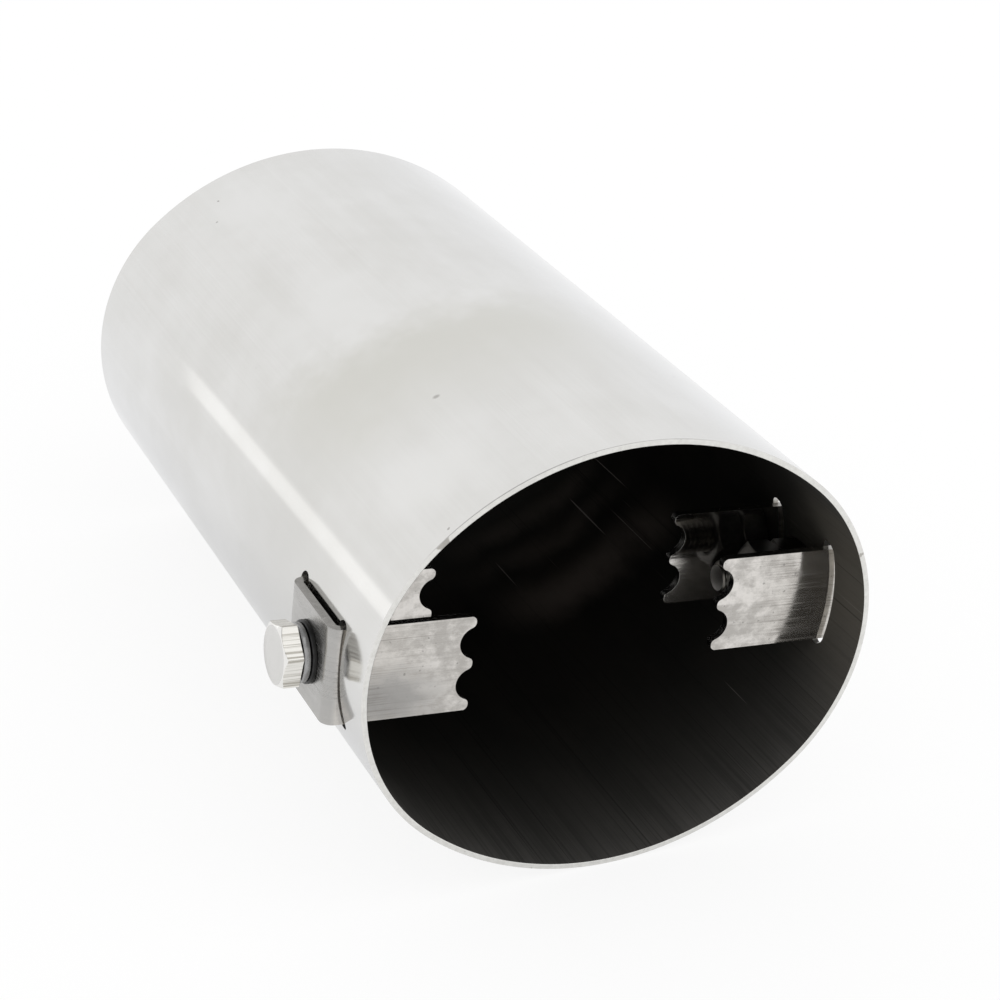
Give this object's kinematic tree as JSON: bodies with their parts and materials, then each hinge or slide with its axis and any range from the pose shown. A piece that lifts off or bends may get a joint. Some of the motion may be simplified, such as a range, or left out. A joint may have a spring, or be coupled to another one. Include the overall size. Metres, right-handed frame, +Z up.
{
  "type": "exhaust tip",
  "caption": "Straight oval steel exhaust tip with screw-drawn toothed U clamps on both sides of its inlet end, which grip a car's exhaust pipe.",
  "frame": {"origin": "under the middle of the tube, on the surface that it rests on", "axes": "+X across the tube to the right clamp, +Y along the tube from the inlet to the outlet, +Z up"},
  "size_m": [0.1054, 0.15, 0.077],
  "materials": {
    "tube_steel": "satin stainless outside, dark unpolished inside",
    "strip_steel": "bright rolled strip with mottled streaks",
    "plated_bolt": "bright plated, turned marks on the flats",
    "spring_steel": "grey plated, with long wear marks round the coil",
    "washer_steel": "blackened, with a dull sheen",
    "nut_steel": "dark and oily, as rolled"
  },
  "bodies": {
    "tube": {"tube_shell": "tube_steel", "clamp_nut_right": "nut_steel", "clamp_nut_left": "nut_steel", "lock_nut_right": "nut_steel", "lock_nut_left": "nut_steel"},
    "right_clamp": {"clamp_bracket_right": "strip_steel", "flat_washer_right": "washer_steel", "spring_washer_right": "spring_steel"},
    "left_clamp": {"clamp_bracket_left": "strip_steel", "flat_washer_left": "washer_steel", "spring_washer_left": "spring_steel"},
    "right_bolt": {"bolt_right": "plated_bolt"},
    "left_bolt": {"bolt_left": "plated_bolt"}
  },
  "joints": [
    {"name": "right_clamp_slide", "type": "slide", "parent": "tube", "child": "right_clamp", "axis": [0.9969, 0, -0.0785], "range_m": [0, 0.01]},
    {"name": "right_bolt_turn", "type": "hinge", "parent": "right_clamp", "child": "right_bolt", "pos_m": [0.04899, -0.055, 0.03705], "axis": [0.9969, 0, -0.0785], "range_deg": [0, 3600]},
    {"name": "left_clamp_slide", "type": "slide", "parent": "tube", "child": "left_clamp", "axis": [-0.9969, 0, 0.0785], "range_m": [0, 0.01]},
    {"name": "left_bolt_turn", "type": "hinge", "parent": "left_clamp", "child": "left_bolt", "pos_m": [-0.04899, -0.055, 0.03885], "axis": [-0.9969, 0, 0.0785], "range_deg": [0, 3600]}
  ],
  "couplings": [
    {"joint": "right_bolt_turn", "follows": "right_clamp_slide", "rad_per_m": 6283.2},
    {"joint": "left_bolt_turn", "follows": "left_clamp_slide", "rad_per_m": 6283.2}
  ]
}
